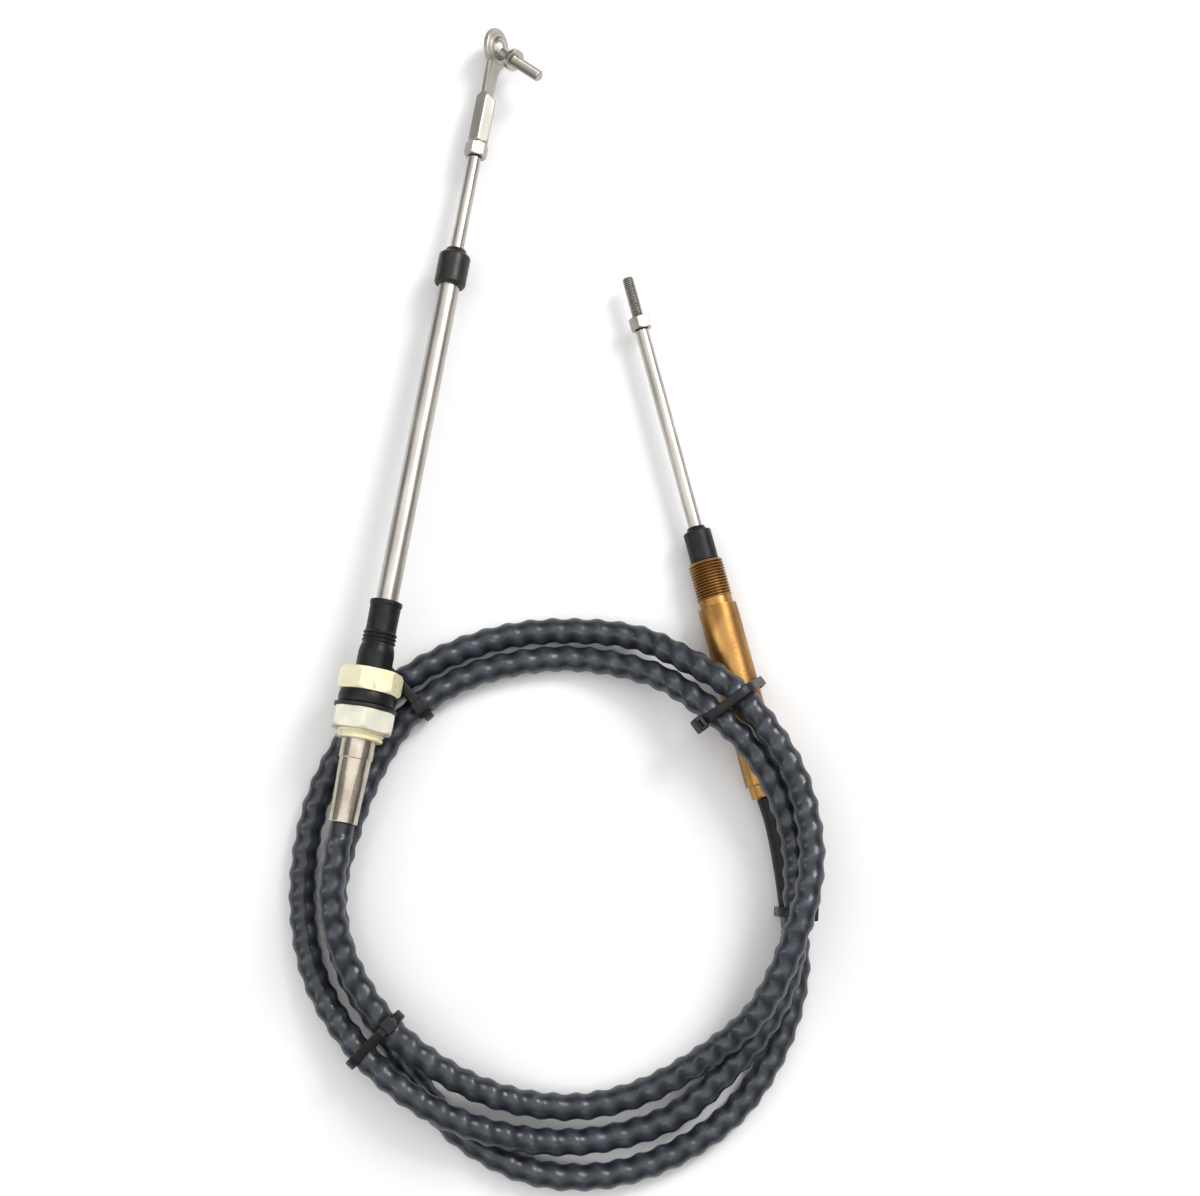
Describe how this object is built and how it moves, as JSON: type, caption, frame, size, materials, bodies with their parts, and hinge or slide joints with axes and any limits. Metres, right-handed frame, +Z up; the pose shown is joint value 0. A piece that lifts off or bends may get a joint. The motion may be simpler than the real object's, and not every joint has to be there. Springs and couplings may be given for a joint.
{
  "type": "boat steering cable",
  "caption": "Coiled push-pull steering cable with a ball joint, hull fitting and swivel boot at one end and a threaded bronze body with a rod at the other.",
  "frame": {"origin": "on the floor, under the middle of the whole cable as it lies", "axes": "+Z up from the floor, +Y towards the rod ends, +X from the ball joint end towards the bronze input end"},
  "size_m": [0.2624, 0.5972, 0.049],
  "materials": {
    "jacket": "semi-gloss ribbed conduit jacket, slate blue-grey",
    "soft_rubber": "matte black rubber",
    "nickel": "nickel-plated, crimped",
    "cream_plastic": "moulded, satin, slightly yellowed",
    "white_plastic": "moulded, satin",
    "black_plastic": "moulded nylon, satin",
    "stainless": "drawn and ground stainless steel",
    "bronze": "machined, lightly toned"
  },
  "bodies": {
    "cable": {"conduit": "jacket", "input_sleeve": "soft_rubber", "hub_ferrule": "nickel", "hull_fitting": "cream_plastic", "hull_nut": "white_plastic", "hull_washer": "black_plastic", "hull_gasket": "soft_rubber", "swivel_boot": "soft_rubber", "input_body": "bronze", "seal_cap": "soft_rubber", "cable_tie_lower_left": "black_plastic", "cable_tie_upper_left": "black_plastic", "cable_tie_upper_right": "black_plastic", "cable_tie_right": "black_plastic"},
    "guide": {"guide_tube": "stainless", "tube_cap": "black_plastic"},
    "output": {"output_rod": "stainless", "output_lock_nut": "stainless", "ball_joint_socket": "stainless"},
    "ball": {"ball_stud": "stainless"},
    "input": {"input_rod": "stainless", "input_lock_nut": "stainless"}
  },
  "joints": [
    {"name": "guide_swivel", "type": "hinge", "parent": "cable", "child": "guide", "pos_m": [-0.08628, -0.03116, 0.02983], "axis": [0.0096, 0.0568, 0.9983], "range_deg": [-8, 8], "deforming": ["swivel_boot"]},
    {"name": "output_travel", "type": "slide", "parent": "guide", "child": "output", "axis": [0.1661, 0.9844, -0.0576], "range_m": [-0.04, 0.05]},
    {"name": "ball_swivel", "type": "hinge", "parent": "output", "child": "ball", "pos_m": [-0.03245, 0.2878, 0.01118], "axis": [-0.4545, 0.1282, 0.8815], "range_deg": [-2, 67]},
    {"name": "input_travel", "type": "slide", "parent": "cable", "child": "input", "axis": [-0.2514, 0.9679, 0], "range_m": [-0.05, 0.04]}
  ],
  "couplings": [
    {"joint": "input_travel", "follows": "output_travel", "ratio": -1}
  ]
}
